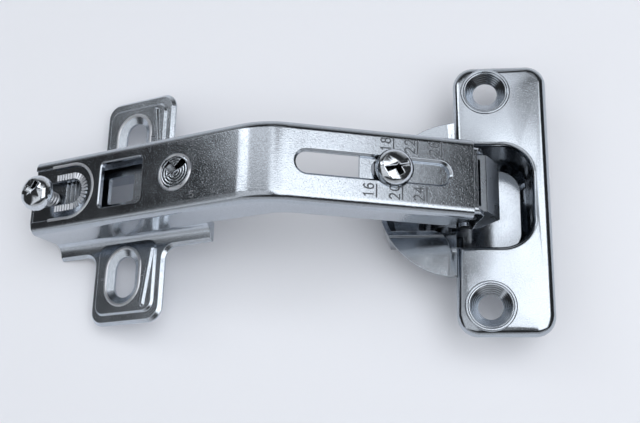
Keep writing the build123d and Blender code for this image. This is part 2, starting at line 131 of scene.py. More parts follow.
class HingeMarks(PropertyGroup):
    digit_height: FloatProperty(name="Digit height", description="Height of the scale's digits, in mm",
                                min=0.5, default=2.05)
    digit_width: FloatProperty(name="Digit width", description="Width of one digit, in mm",
                               min=0.3, default=1.2)
    stroke: FloatProperty(name="Stroke", description="Width of a stamped stroke with its burrs, in mm",
                          min=0.05, default=0.4)
    burr: FloatProperty(name="Burr", description="Height of the burrs beside a stamped stroke, in mm",
                        min=0.01, default=0.07)
    lip: FloatProperty(name="Lip", description="Height of the pressed lips, in mm",
                       min=0.01, default=0.16)
    teeth_pitch: FloatProperty(name="Teeth pitch", description="From one tooth of the pad to the next, in mm",
                               min=0.2, default=0.74)
    thread_pitch: FloatProperty(name="Thread pitch", description="Pitch of the fixing screw, in mm",
                                min=0.2, default=0.8)
    thread_steps: IntProperty(name="Thread steps", description="Segments in a turn of the thread",
                              min=8, default=24)


class HingeStage(PropertyGroup):
    floor: FloatVectorProperty(name="Floor", description="Colour of the floor", subtype="COLOR",
                               size=3, min=0, max=1, default=(0.86, 0.88, 0.93))
    floor_size: FloatProperty(name="Floor size", description="Length of each side of the floor",
                              subtype="DISTANCE", unit="LENGTH", default=3.0)
    panels: FloatProperty(name="Panels", description="Brightness of the panels overhead",
                          min=0, default=1.0)
    walls: FloatProperty(name="Walls", description="Brightness of the dark part of the sky",
                         min=0, default=0.035)
    fill: FloatProperty(name="Fill", description="Power of the lamp that lights the floor",
                        subtype="POWER", unit="POWER", min=0, default=1.9)
    target: FloatVectorProperty(name="Target", description="Point that the camera looks at", size=3,
                                subtype="TRANSLATION", unit="LENGTH", default=(-0.029922, -0.003118, 0.013))
    distance: FloatProperty(name="Distance", description="From the target to the camera",
                            subtype="DISTANCE", unit="LENGTH", default=0.218015)
    azimuth: FloatProperty(name="Azimuth", description="Turn of the camera round the object",
                           subtype="ANGLE", unit="ROTATION", default=0.376176)
    elevation: FloatProperty(name="Elevation", description="Height of the camera above the horizon",
                             subtype="ANGLE", unit="ROTATION", default=1.236554)
    roll: FloatProperty(name="Roll", description="Turn of the camera about its own axis",
                        subtype="ANGLE", unit="ROTATION", default=-0.371984)
    lens: FloatProperty(name="Lens", description="Focal length on a 36 mm sensor, in mm",
                        min=1, default=56.794)


# ---------------------------------------------------------------- shading the solids
GENTLE_TURN = 38        # degrees between faces that are shaded as one
GENTLE_TURN_ON = {"mounting_plate": 25}     # keeps the bevels of its wings crisp
SAME_PLACE = 7          # decimals of a metre at which two corners are the same


def normals_by_edge(mesh, corners):
    """The normals of the faces beside each edge, found by where the edge lies.

    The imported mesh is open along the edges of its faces, so its faces don't share them.
    """
    beside = {}
    for face in mesh.polygons:
        for a, b in face.edge_keys:
            beside.setdefault(frozenset((corners[a], corners[b])), []).append(face.normal.copy())
    return beside


def smooth(thing, angle):
    """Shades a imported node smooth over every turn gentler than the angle."""
    mesh = thing.data
    corners = [tuple(round(c, SAME_PLACE) for c in vertex.co) for vertex in mesh.vertices]
    beside = normals_by_edge(mesh, corners)
    limit = math.radians(angle)
    mesh.shade_smooth()
    sharp = mesh.attributes.get("sharp_edge") or mesh.attributes.new("sharp_edge", "BOOLEAN", "EDGE")
    for edge, flag in zip(mesh.edges, sharp.data):
        a, b = edge.vertices
        normals = beside[frozenset((corners[a], corners[b]))]
        flag.value = len(normals) != 2 or normals[0].angle(normals[1], 0) > limit
    weld = thing.modifiers.new("weld", "WELD")
    weld.merge_threshold = 10 ** -SAME_PLACE
    weight_normals(thing)


def weight_normals(thing):
    """Flat faces keep their own shading, and the round faces beside them take up the turn."""
    modifier = thing.modifiers.new("weighted_normals", "WEIGHTED_NORMAL")
    modifier.mode = "FACE_AREA"
    modifier.weight = 100
    modifier.keep_sharp = True


class HINGE_OT_smooth_solids(Operator):
    """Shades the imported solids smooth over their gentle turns"""
    bl_idname = "hinge.smooth_solids"
    bl_label = "Smooth the solids"

    def execute(self, context):
        for name, thing in nodes.items():
            smooth(thing, GENTLE_TURN_ON.get(name, GENTLE_TURN))
        return {"FINISHED"}


# ---------------------------------------------------------------- finishes
class Tree:
    """The nodes of a material or of the world, with short ways to add one and to feed its inputs."""

    def __init__(self, owner):
        owner.use_nodes = True
        self.nodes = owner.node_tree.nodes
        self.links = owner.node_tree.links

    def feed(self, socket, value):
        """Gives an input a number or a colour, or links the output of another node to it."""
        if isinstance(value, bpy.types.NodeSocket):
            self.links.new(value, socket)
        elif socket.type == "RGBA":
            socket.default_value = (*value, 1)
        else:
            socket.default_value = value

    def reckon(self, operation, *values):
        """The sum, product or other result of one or two numbers and outputs."""
        node = self.nodes.new("ShaderNodeMath")
        node.operation = operation
        for socket, value in zip(node.inputs, values):
            self.feed(socket, value)
        return node.outputs["Value"]

    def spread(self, value, known, wanted):
        """Maps a value from the known range to the wanted one."""
        node = self.nodes.new("ShaderNodeMapRange")
        for name, bound in zip(("From Min", "From Max", "To Min", "To Max"), (*known, *wanted)):
            node.inputs[name].default_value = bound
        self.feed(node.inputs["Value"], value)
        return node.outputs["Result"]

    def mixed(self, factor, first, second):
        """A colour between two."""
        node = self.nodes.new("ShaderNodeMix")
        node.data_type = "RGBA"
        for name, value in (("Factor", factor), ("A", first), ("B", second)):
            self.feed(node.inputs[name], value)
        return node.outputs["Result"]

    def noise(self, place, size, detail=3.0, stretch=None):
        """A noise whose blobs are about size across, longer along an axis where stretch is small."""
        if stretch:
            mapping = self.nodes.new("ShaderNodeMapping")
            mapping.inputs["Scale"].default_value = stretch
            self.feed(mapping.inputs["Vector"], place)
            place = mapping.outputs["Vector"]
        node = self.nodes.new("ShaderNodeTexNoise")
        node.inputs["Scale"].default_value = 1.0 / size
        node.inputs["Detail"].default_value = detail
        self.feed(node.inputs["Vector"], place)
        return node.outputs["Fac"]


def new_material(name):
    """A material, its nodes and its surface shader."""
    material = bpy.data.materials.new(name)
    tree = Tree(material)
    return material, tree, tree.nodes["Principled BSDF"]


def scaled(colour, by):
    """A lighter or darker colour."""
    return tuple(min(1.0, c * by) for c in colour)


WORN = (0.99, 0.85)     # agreement of the rounded and the flat normal, from the first wear to bare


def worn_edges(tree, width):
    """The normal with the edges rounded, and a mask of those edges."""
    rounded = tree.nodes.new("ShaderNodeBevel")
    rounded.samples = 6
    rounded.inputs["Radius"].default_value = width
    flat = tree.nodes.new("ShaderNodeNewGeometry")
    agree = tree.nodes.new("ShaderNodeVectorMath")
    agree.operation = "DOT_PRODUCT"
    tree.feed(agree.inputs[0], rounded.outputs["Normal"])
    tree.feed(agree.inputs[1], flat.outputs["Normal"])
    return rounded.outputs["Normal"], tree.spread(agree.outputs["Value"], WORN, (0.0, 1.0))


RINGS_END = (4.5 * MM, 4.7 * MM)    # distance from their middle over which the rings fade


def turned_rings(tree, place, x, y, pitch):
    """Rings that a cutter leaves round a middle at x and at y to each side, as a height."""
    split = tree.nodes.new("ShaderNodeSeparateXYZ")
    tree.feed(split.inputs["Vector"], place)
    along = tree.reckon("SUBTRACT", split.outputs["X"], x)
    across = tree.reckon("SUBTRACT", tree.reckon("ABSOLUTE", split.outputs["Y"]), y)
    across = tree.reckon("MULTIPLY", across, across)
    along = tree.reckon("MULTIPLY", along, along)
    out = tree.reckon("SQRT", tree.reckon("ADD", across, along))
    wave = tree.reckon("SINE", tree.reckon("MULTIPLY", out, 2 * math.pi / pitch))
    return tree.reckon("MULTIPLY", wave, tree.spread(out, RINGS_END, (1.0, 0.0)))


def plating_relief(tree, place, peel, grain, pit_share, streaks, rings):
    """The height of the plating's peel and pits, with the press's streaks and the cutter's rings."""
    pits = tree.spread(tree.noise(place, grain * 1.3, 1.0), (0.60, 0.75), (0.0, pit_share))
    height = tree.reckon("ADD", peel, pits)
    if streaks:
        height = tree.reckon("ADD", height, tree.noise(place, grain, 2.0, streaks))
    if rings:
        height = tree.reckon("ADD", height, turned_rings(tree, place, *rings))
    return height


def plating_tone(tree, colour, peel, cloud, worn, hollow_shade):
    """The colour of the plating: specks, faint stains, bright edges, and painted shade in its recesses."""
    specks = tree.spread(peel, (0.35, 0.65), (0.0, 1.0))
    tone = tree.mixed(specks, scaled(colour, 0.84), scaled(colour, 1.06))
    stains = tree.spread(cloud, (0.62, 0.78), (0.0, 0.5))
    tone = tree.mixed(stains, tone, scaled(colour, 0.8))
    tone = tree.mixed(tree.reckon("MULTIPLY", worn, 0.7), tone, scaled(colour, 1.3))
    # painted shade: ambient occlusion darkens the colour in recesses
    if hollow_shade:
        strength, width = hollow_shade
        openness = tree.nodes.new("ShaderNodeAmbientOcclusion")
        openness.samples = 8
        openness.inputs["Distance"].default_value = width
        deep = tree.spread(openness.outputs["AO"], (0.5, 0.88), (strength, 0.0))
        tone = tree.mixed(deep, tone, scaled(colour, 0.05))
    return tone


CLOUD = 6 * MM                      # width of the slow changes in gloss and tone
ARM_STREAKS = (0.04, 1, 1)          # stretch of the drag lines along the arms
LINK_STREAKS = (1, 1, 0.05)         # and up the links
CUP_RINGS = 0.35 * MM               # pitch of the rings round the cup's screw holes
OVERLAY_RINGS = 0.6 * MM            # and on the overlay screw
CUP_HOLLOW_SHADE = (0.5, 8 * MM)         # painted shade: how dark recesses are painted, and how wide they may be
PLATE_HOLLOW_SHADE = (0.75, 5 * MM)
SCREW_HOLLOW_SHADE = (0.9, 1.5 * MM)
OVERLAY_HOLLOW_SHADE = (0.95, 3 * MM)
LINK_ROUGHNESS = 0.28
SCREW_ROUGHNESS = 0.1
OVERLAY_ROUGHNESS = 0.12


def plated(name, finish, colour, roughness, coarse=1.0, deep=1.0, streaks=None, rings=None, hollow_shade=None):
    """Nickel-plated steel: a fine peel, slow changes in gloss and tone, and edges rubbed bright.

    coarse and deep are the width and depth of the peel, against the finish's own. streaks is the stretch of
    the drag lines that a press leaves along the part. rings is the middle (x and y) and the pitch of turned
    rings. hollow_shade is how far the colour is darkened in recesses as painted shade, from 0 to 1, and how
    wide a recess may be.
    """
    material, tree, surface = new_material(name)
    grain = finish.grain * coarse
    place = tree.nodes.new("ShaderNodeTexCoord").outputs["Object"]
    peel = tree.noise(place, grain)
    cloud = tree.noise(place, CLOUD, 4.0)
    rounded, worn = worn_edges(tree, finish.edge)

    bump = tree.nodes.new("ShaderNodeBump")
    bump.inputs["Strength"].default_value = 1.0
    bump.inputs["Distance"].default_value = finish.grain_depth * deep
    pit_share = finish.pit_depth / finish.grain_depth
    tree.feed(bump.inputs["Height"], plating_relief(tree, place, peel, grain, pit_share, streaks, rings))
    tree.feed(bump.inputs["Normal"], rounded)

    gloss = tree.spread(cloud, (0.3, 0.7), (roughness - 0.03, roughness + 0.04))
    gloss = tree.reckon("SUBTRACT", gloss, tree.reckon("MULTIPLY", worn, 0.04))
    surface.inputs["Metallic"].default_value = 1.0
    tree.feed(surface.inputs["Base Color"], plating_tone(tree, colour, peel, cloud, worn, hollow_shade))
    tree.feed(surface.inputs["Roughness"], gloss)
    tree.feed(surface.inputs["Normal"], bump.outputs["Normal"])
    return material


def groove_shade(name, colour):
    """The darker bottom of a stamped stroke: painted shade of the groove, with the grease and polish that
    collect there.
    """
    material, tree, surface = new_material(name)
    place = tree.nodes.new("ShaderNodeTexCoord").outputs["Object"]
    grime = tree.noise(place, 0.4 * MM)
    surface.inputs["Metallic"].default_value = 0.9
    tree.feed(surface.inputs["Base Color"], tree.mixed(grime, scaled(colour, 0.3), scaled(colour, 0.6)))
    tree.feed(surface.inputs["Roughness"], tree.spread(grime, (0.3, 0.7), (0.45, 0.65)))
    return material


def dress(material, *names):
    """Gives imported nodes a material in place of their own."""
    for name in names:
        slots = nodes[name].data.materials
        slots.clear()
        slots.append(material)


class HINGE_OT_plate_sheet(Operator):
    """Gives the cup, the arms and the mounting plate their nickel plating"""
    bl_idname = "hinge.plate_sheet"
    bl_label = "Plate the sheet metal"

    def execute(self, context):
        finish = context.scene.hinge_finish
        # painted shade: the stamped grooves take a darker colour
        groove_shade("stamp_groove_shade", finish.nickel)
        sheet = plated("nickel_sheet", finish, finish.nickel, finish.roughness, streaks=ARM_STREAKS)
        dress(sheet, "outer_arm", "inner_arm")
        turned = plated("nickel_cup", finish, finish.nickel, finish.roughness - 0.02, deep=0.8,
                        rings=(HOLE_AT[0] * MM, HOLE_AT[1] * MM, CUP_RINGS), hollow_shade=CUP_HOLLOW_SHADE)
        dress(turned, "cup")
        zinc = plated("plate_zinc", finish, scaled(finish.nickel, 1.25), finish.roughness + 0.09,
                      coarse=1.2, hollow_shade=PLATE_HOLLOW_SHADE)
        dress(zinc, "mounting_plate")
        return {"FINISHED"}


class HINGE_OT_finish_links(Operator):
    """Gives the links, the pins and the nut a duller steel"""
    bl_idname = "hinge.finish_links"
    bl_label = "Finish the links"

    def execute(self, context):
        finish = context.scene.hinge_finish
        dull = plated("link_steel", finish, finish.dull, LINK_ROUGHNESS, streaks=LINK_STREAKS)
        dress(dull, "outer_link", "inner_link", "arm_pin_upper", "arm_pin_lower", "cup_pin",
              "cup_rivet_front", "cup_rivet_rear", "length_screw_nut")
        return {"FINISHED"}


class HINGE_OT_finish_screws(Operator):
    """Gives the length and fixing screws a bright plating and the overlay screw a turned one"""
    bl_idname = "hinge.finish_screws"
    bl_label = "Finish the screws"

    def execute(self, context):
        finish = context.scene.hinge_finish
        bright = plated("screw_steel", finish, finish.bright, SCREW_ROUGHNESS, coarse=1.6, deep=0.5,
                        hollow_shade=SCREW_HOLLOW_SHADE)
        dress(bright, "length_screw", "fixing_screw")
        middle = on_arm(LEFT, OVERLAY_AT, 0)
        turned = plated("overlay_steel", finish, finish.nickel, OVERLAY_ROUGHNESS, coarse=1.6, deep=2.0,
                        rings=(middle.x, middle.y, OVERLAY_RINGS), hollow_shade=OVERLAY_HOLLOW_SHADE)
        dress(turned, "overlay_screw")
        return {"FINISHED"}


# ---------------------------------------------------------------- strips
LONGEST_MITRE = 1.8     # how far a strip may widen at a corner
SUNK = 0.03             # how far the foot of a strip goes into the face under it


def sidesteps(points, closed):
    """At each flat point the way to the side of a line through it, longer at a corner."""
    steps = []
    last = len(points) - 1
    for i, point in enumerate(points):
        before = points[i - 1] if i or closed else point
        after = points[(i + 1) % len(points)] if i < last or closed else point
        ways = [Vector(point) - Vector(before), Vector(after) - Vector(point)]
        ways = [way.normalized() for way in ways if way.length]
        way = sum(ways, Vector((0, 0))).normalized()
        mitre = 1 / max(1 / LONGEST_MITRE, way.dot(ways[0]))
        steps.append(Vector((-way.y, way.x)) * mitre)
    return steps


def join_rows(work, rows, shades=()):
    """Faces from each row of corners to the next, all round the section."""
    across = len(rows[0])
    for first, second in zip(rows, rows[1:]):
        for j in range(across):
            k = (j + 1) % across
            face = work.faces.new((first[j], first[k], second[k], second[j]))
            face.material_index = shades[j] if j < len(shades) else 0


def cap_ends(work, rows):
    """Closes a strip at its first and last row."""
    work.faces.new(rows[0][::-1])
    work.faces.new(rows[-1])


def strip(work, place, points, section, closed=False, shades=()):
    """Lays a solid strip along flat (u, v) points.

    section lists (side, height) across it, place(u, v, height) puts a point in the scene, and shades gives
    the material slot of each face across the section.
    """
    rows = []
    for (u, v), aside in zip(points, sidesteps(points, closed)):
        rows.append([work.verts.new(place(u + aside.x * side, v + aside.y * side, high))
                     for side, high in section])
    if closed:
        join_rows(work, rows + rows[:1], shades)
    else:
        join_rows(work, rows, shades)
        cap_ends(work, rows)


def bead(foot, crown, height, sunk=SUNK):
    """The section of a rolled or pressed bead, foot wide to each side below and crown above."""
    return [(-foot, -sunk), (-crown, height), (crown, height), (foot, -sunk)]


def oval(middle, half_width, half_height, steps=14):
    """The points of an oval, in order."""
    return [(middle[0] + half_width * math.cos(2 * math.pi * i / steps),
             middle[1] + half_height * math.sin(2 * math.pi * i / steps)) for i in range(steps)]


def ring(radius, middle=(0, 0)):
    """The points of a round ring."""
    return oval(middle, radius, radius, steps=48)


def finish_piece(name, work, materials, body):
    """Turns the work mesh into a piece that rides on a body of the hinge."""
    bmesh.ops.recalc_face_normals(work, faces=work.faces)
    mesh = bpy.data.meshes.new(name)
    work.to_mesh(mesh)
    work.free()
    for material in materials:
        mesh.materials.append(bpy.data.materials[material])
    piece = bpy.data.objects.new(name, mesh)
    bpy.context.scene.collection.objects.link(piece)
    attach(piece, body)


# ---------------------------------------------------------------- stamped marks
# strokes of each digit in a box 1 wide and 1 high: (points, closed)
DIGITS = {
    "0": [(oval((0.5, 0.5), 0.42, 0.46), True)],
    "1": [([(0.22, 0.8), (0.58, 1.0), (0.58, 0.0)], False)],
    "2": [([(0.08, 0.76), (0.22, 0.95), (0.5, 1.0), (0.78, 0.94), (0.92, 0.76), (0.8, 0.52),
            (0.08, 0.0), (0.96, 0.0)], False)],
    "4": [([(0.72, 0.0), (0.72, 1.0), (0.04, 0.32), (1.0, 0.32)], False)],
    "5": [([(0.88, 1.0), (0.2, 1.0), (0.14, 0.56), (0.5, 0.64), (0.86, 0.5), (0.92, 0.28),
            (0.76, 0.06), (0.44, 0.0), (0.08, 0.12)], False)],
    "6": [([(0.86, 0.88), (0.56, 1.0), (0.26, 0.86), (0.1, 0.58), (0.08, 0.3), (0.24, 0.06),
            (0.52, 0.0), (0.8, 0.08), (0.92, 0.3), (0.8, 0.52), (0.52, 0.6), (0.24, 0.52)], False)],
    "8": [(oval((0.5, 0.76), 0.34, 0.23), True), (oval((0.5, 0.27), 0.42, 0.27), True)],
}
# the length scale beside the slot: number, t of its line, y where the line starts and ends
SCALE = (("26", 6.87, 3.44, 6.75), ("22", 11.94, 3.6, 6.6), ("18", 16.93, 3.6, 6.6),
         ("24", 10.07, -3.26, -6.28), ("20", 15.1, -3.4, -6.3), ("16", 20.4, -3.45, -6.3))
DIGIT_LIFT = 0.6        # from the line to the digits
DIGIT_GAP = 0.5         # between two digits
SMALL_NUMBER = "5"
SMALL_NUMBER_AT = (16.5, -6.05)     # t and y of its foot, on the left half
SMALL_NUMBER_SIZE = (1.05, 1.26)    # its width and height
WING_MARKS = ((38.3, 39.9), (48.9, 50.4))   # t where each mark starts and ends
WING_MARK_Y = 16.2                  # y of the ends of a mark
WING_MARK_BOW = 0.12                # how far its middle lies further out
BURR_AT = 0.62                      # crest of a burr, as a share of half the stroke
GROOVE_LEVEL = 0.004                # bottom of the groove, over the face
STAMP_SHADES = (0, 1, 1, 0, 0)      # the groove between the burrs takes the second material, its painted shade


def stamp_section(marks):
    """Across a stamped stroke: a burr on each side and a groove between them."""
    half = marks.stroke / 2
    crest = BURR_AT * half
    return [(-half, -SUNK), (-crest, marks.burr), (0, GROOVE_LEVEL), (crest, marks.burr), (half, -SUNK)]


def stamp_digit(work, place, digit, foot, size, section):
    """Stamps a digit whose box stands on the foot (u, v)."""
    for points, closed in DIGITS[digit]:
        spots = [(foot[0] + u * size[0], foot[1] + v * size[1]) for u, v in points]
        strip(work, place, spots, section, closed, STAMP_SHADES)


def beside_screw(u, v, high):
    """Lays flat points on the left half, from the small number's foot: u towards the bend, v across."""
    return on_arm(LEFT, SMALL_NUMBER_AT[0] - u, SMALL_NUMBER_AT[1] + v, high)


class HINGE_OT_stamp_scale(Operator):
    """Stamps the length scale's lines and numbers beside the slot, and the small number of the left half"""
    bl_idname = "hinge.stamp_scale"
    bl_label = "Stamp the scale"

    def execute(self, context):
        marks = context.scene.hinge_marks
        section = stamp_section(marks)
        size = (marks.digit_width, marks.digit_height)
        step = marks.digit_width + DIGIT_GAP
        work = bmesh.new()
        for number, line, start, end in SCALE:
            strip(work, on_right, [(start, line), (end, line)], section, shades=STAMP_SHADES)
            left = (start + end) / 2 - (step + marks.digit_width) / 2
            for column, digit in enumerate(number):
                stamp_digit(work, on_right, digit, (left + column * step, line + DIGIT_LIFT), size, section)
        fine = [(side / 2, high / 2) for side, high in section]
        stamp_digit(work, beside_screw, SMALL_NUMBER, (0, 0), SMALL_NUMBER_SIZE, fine)
        finish_piece("length_scale", work, ("nickel_sheet", "stamp_groove_shade"), "outer_arm")
        return {"FINISHED"}


class HINGE_OT_mark_wings(Operator):
    """Stamps the index marks on both sides of the middle of each wing's slot"""
    bl_idname = "hinge.mark_wings"
    bl_label = "Mark the wings"

    def execute(self, context):
        section = stamp_section(context.scene.hinge_marks)
        work = bmesh.new()
        for side in (-1, 1):
            y = side * WING_MARK_Y
            for start, end in WING_MARKS:
                bowed = [(y, start), (y + side * WING_MARK_BOW, (start + end) / 2), (y, end)]
                strip(work, on_wings, bowed, section, shades=STAMP_SHADES)
        finish_piece("wing_marks", work, ("plate_zinc", "stamp_groove_shade"), "mounting_plate")
        return {"FINISHED"}


# ---------------------------------------------------------------- pressed lips and the staked rim
LIP_FOOT = 0.4          # half the width of a pressed lip below
LIP_CROWN = 0.15        # and above
LIP_RADIUS = 5.0        # of the lip round a screw hole of the cup
COLLAR_RADIUS = 4.75    # of the round ends of a collar
COLLAR_STRAIGHT = 1.8   # half the length of its straight sides
COLLAR_STEPS = 12       # in each of its round ends
STAKED_RADIUS = 3.55    # of the rim round the overlay screw


class HINGE_OT_press_hole_lips(Operator):
    """Presses the lips round the screw holes of the cup"""
    bl_idname = "hinge.press_hole_lips"
    bl_label = "Press the lips of the holes"

    def execute(self, context):
        section = bead(LIP_FOOT, LIP_CROWN, context.scene.hinge_marks.lip)
        work = bmesh.new()
        for side in (-1, 1):
            strip(work, on_flange, ring(LIP_RADIUS, (HOLE_AT[0], side * HOLE_AT[1])), section, closed=True)
        finish_piece("hole_lips", work, ("nickel_cup",), "cup")
        return {"FINISHED"}


def collar_line(side):
    """The long ring round the slot of a wing."""
    bow = []
    for i in range(COLLAR_STEPS + 1):
        angle = math.pi * (i / COLLAR_STEPS - 0.5)
        bow.append((COLLAR_STRAIGHT + COLLAR_RADIUS * math.cos(angle), COLLAR_RADIUS * math.sin(angle)))
    t, y = SLOT_AT[0], side * SLOT_AT[1]
    return [(y + u, t + v) for u, v in bow + [(-u, -v) for u, v in bow]]


class HINGE_OT_press_collars(Operator):
    """Presses the collars round the slots of the wings"""
    bl_idname = "hinge.press_collars"
    bl_label = "Press the collars of the slots"

    def execute(self, context):
        section = bead(LIP_FOOT, LIP_CROWN, context.scene.hinge_marks.lip)
        work = bmesh.new()
        for side in (-1, 1):
            strip(work, on_wings, collar_line(side), section, closed=True)
        finish_piece("slot_collars", work, ("plate_zinc",), "mounting_plate")
        return {"FINISHED"}


def staked(u, v, high):
    """Lays flat points round the overlay screw, with an uneven height from the staking punch."""
    turn = math.atan2(v, u)
    uneven = 1 + 0.35 * math.cos(4 * turn + 0.6) + 0.25 * math.sin(7 * turn)
    return on_arm(LEFT, OVERLAY_AT + u, v, high * uneven)


class HINGE_OT_stake_rim(Operator):
    """Stakes the rim that holds the overlay screw in the arm"""
    bl_idname = "hinge.stake_rim"
    bl_label = "Stake the rim"

    def execute(self, context):
        lip = context.scene.hinge_marks.lip
        section = [(-0.45, -0.05), (-0.15, 1.6 * lip), (0.1, 1.3 * lip), (0.4, -0.05)]
        work = bmesh.new()
        strip(work, staked, ring(STAKED_RADIUS), section, closed=True)
        finish_piece("staked_rim", work, ("nickel_sheet",), "outer_arm")
        return {"FINISHED"}


# ---------------------------------------------------------------- teeth of the pad
PAD_EDGE = 6.1          # from the fork's middle to the pad's edge
PAD_END = 54.0          # t where the edge ends
PAD_STEPS = 20          # in the edge's bow
PAD_LIP = (0.35, 0.1)   # half its width below and above
TEETH_IN = 2.85         # from the fork's middle to where a tooth starts
TEETH_OUT = 4.2         # and ends
TEETH_END = 53.0        # t of the last straight teeth
TOOTH_HEIGHT = 0.26
TOOTH_SUNK = 0.05
TOOTH_FOOT = 0.46       # half the width of a tooth, as a share of the pitch
TOOTH_CROWN = 0.2       # its flat crown, as a share of its width


def pad_edge():
    """The line along the pad's edge, round the bow of the fork."""
    bow = []
    for i in range(PAD_STEPS + 1):
        angle = math.pi * i / PAD_STEPS
        bow.append((-PAD_EDGE * math.cos(angle), FORK_CENTRE - PAD_EDGE * math.sin(angle)))
    return [(-PAD_EDGE, PAD_END), *bow, (PAD_EDGE, PAD_END)]


def tooth_lines(pitch):
    """Where the teeth lie: beside both arms of the fork, then round its bow."""
    lines = []
    for side in (-1, 1):
        t = FORK_CENTRE
        while t < TEETH_END:
            lines.append([(side * TEETH_IN, t), (side * TEETH_OUT, t)])
            t += pitch
    step = pitch / (0.5 * (TEETH_IN + TEETH_OUT))
    last = int(0.5 * math.pi / step)
    for i in range(-last, last + 1):
        u, v = math.sin(i * step), -math.cos(i * step)
        lines.append([(radius * u, FORK_CENTRE + radius * v) for radius in (TEETH_IN, TEETH_OUT)])
    return lines


class HINGE_OT_roll_teeth(Operator):
    """Rolls the teeth and the lip of the pad round the fork of the arm"""
    bl_idname = "hinge.roll_teeth"
    bl_label = "Roll the teeth"

    def execute(self, context):
        marks = context.scene.hinge_marks
        foot = TOOTH_FOOT * marks.teeth_pitch
        tooth = bead(foot, TOOTH_CROWN * foot, TOOTH_HEIGHT, TOOTH_SUNK)
        work = bmesh.new()
        strip(work, on_left, pad_edge(), bead(*PAD_LIP, 0.5 * marks.lip))
        for line in tooth_lines(marks.teeth_pitch):
            strip(work, on_pad, line, tooth)
        finish_piece("pad_teeth", work, ("nickel_sheet",), "outer_arm")
        return {"FINISHED"}


# ---------------------------------------------------------------- thread of the fixing screw
THREAD_ENDS = (-1.68, 3.3)      # n where it starts and ends
THREAD_ROOT = 1.47              # radius
THREAD_CREST = 1.7              # radius
THREAD_FOOT = 0.42              # half the width of the foot, as a share of the pitch
THREAD_FLAT = 0.08              # half the width of the crest
THREAD_FADE = 0.25              # turns over which each end runs out
THREAD_LEAST = 0.02             # share of the height that is left at an end


def thread_row(work, turned, middle, foot, height):
    """The corners of the thread's section after some turns, at a level on the screw's axis."""
    angle = 2 * math.pi * turned
    crest = THREAD_ROOT + (THREAD_CREST - THREAD_ROOT) * height
    section = ((THREAD_ROOT, -foot), (crest, -THREAD_FLAT), (crest, THREAD_FLAT), (THREAD_ROOT, foot))
    row = []
    for radius, rise in section:
        t = FIXING_SCREW[0] + radius * math.cos(angle)
        y = FIXING_SCREW[1] + radius * math.sin(angle)
        row.append(work.verts.new(on_arm(LEFT, t, y, middle + rise)))
    return row


class HINGE_OT_wind_thread(Operator):
    """Winds the thread on the open part of the fixing screw"""
    bl_idname = "hinge.wind_thread"
    bl_label = "Wind the thread"

    def execute(self, context):
        marks = context.scene.hinge_marks
        pitch = marks.thread_pitch
        foot = THREAD_FOOT * pitch
        start = THREAD_ENDS[0] + foot
        steps = int((THREAD_ENDS[1] - foot - start) / pitch * marks.thread_steps)
        work = bmesh.new()
        rows = []
        for i in range(steps + 1):
            turned = i / marks.thread_steps
            left = (steps - i) / marks.thread_steps
            height = max(THREAD_LEAST, min(1.0, turned / THREAD_FADE, left / THREAD_FADE))
            rows.append(thread_row(work, turned, start + pitch * turned, foot, height))
        join_rows(work, rows)
        cap_ends(work, rows)
        # painted shade: the thread takes the duller link steel, darker than its screw's bright steel
        finish_piece("screw_thread", work, ("link_steel",), "fixing_screw")
        return {"FINISHED"}


# ---------------------------------------------------------------- stage
# A soft panel in the sky: its brightness, and its place by the x and y of the direction to it, in axes
# turned by some degrees. along and across each give its middle, half its width and its edge's softness.
SkyPanel = namedtuple("SkyPanel", "level turn along across")
PANELS = (
    SkyPanel(2.15, 12.4, (0.333, 0.253, 0.03), (-0.14, 0.462, 0.04)),
    SkyPanel(2.40, 0.0, (-0.652, 0.1, 0.02), (0.40, 0.10, 0.04)),
    SkyPanel(1.10, 0.0, (-0.24, 0.34, 0.05), (0.40, 0.09, 0.04)),
    SkyPanel(0.80, 0.0, (-0.38, 0.42, 0.05), (-0.20, 0.44, 0.05)),
    SkyPanel(0.34, 0.0, (0.10, 0.20, 0.05), (0.54, 0.12, 0.05)),
)
SURROUNDINGS = 0.55                 # brightness of the pale surroundings before and behind, low down
SKY_COLOUR = (1.0, 1.015, 1.04)
LAMP_AT = (0.3, -0.06, 0.6)         # in metres, as are its aim and size
LAMP_AIM = (-0.03, 0.0, 0.0)
LAMP_SIZE = 0.9
SENSOR = 36.0                       # mm


def within(tree, value, middle, half, soft):
    """1 where the value lies less than the half width from the middle, 0 beyond it, with a soft edge."""
    off = tree.reckon("ABSOLUTE", tree.reckon("SUBTRACT", value, middle))
    return tree.spread(off, (half - soft, half + soft), (1.0, 0.0))


def along_way(tree, way, angle):
    """How far a direction points along a level axis turned by the angle."""
    x = tree.reckon("MULTIPLY", way["X"], math.cos(angle))
    y = tree.reckon("MULTIPLY", way["Y"], math.sin(angle))
    return tree.reckon("ADD", x, y)


def studio_sky(world, stage):
    """Soft bright panels overhead and pale low surroundings before and behind, between dark walls."""
    tree = Tree(world)
    split = tree.nodes.new("ShaderNodeSeparateXYZ")
    tree.feed(split.inputs["Vector"], tree.nodes.new("ShaderNodeTexCoord").outputs["Generated"])
    way = split.outputs
    total = stage.walls
    for panel in PANELS:
        turn = math.radians(panel.turn)
        along = within(tree, along_way(tree, way, turn), *panel.along)
        across = within(tree, along_way(tree, way, turn + math.pi / 2), *panel.across)
        light = tree.reckon("MULTIPLY", tree.reckon("MULTIPLY", along, across), panel.level * stage.panels)
        total = tree.reckon("ADD", total, light)
    aside = tree.spread(tree.reckon("ABSOLUTE", way["Y"]), (0.5, 0.8), (0.0, SURROUNDINGS))
    low = tree.reckon("MULTIPLY", aside, tree.spread(way["Z"], (0.25, 0.5), (1.0, 0.0)))
    sky = tree.nodes["Background"]
    tree.feed(sky.inputs["Strength"], tree.reckon("ADD", total, low))
    tree.feed(sky.inputs["Color"], SKY_COLOUR)


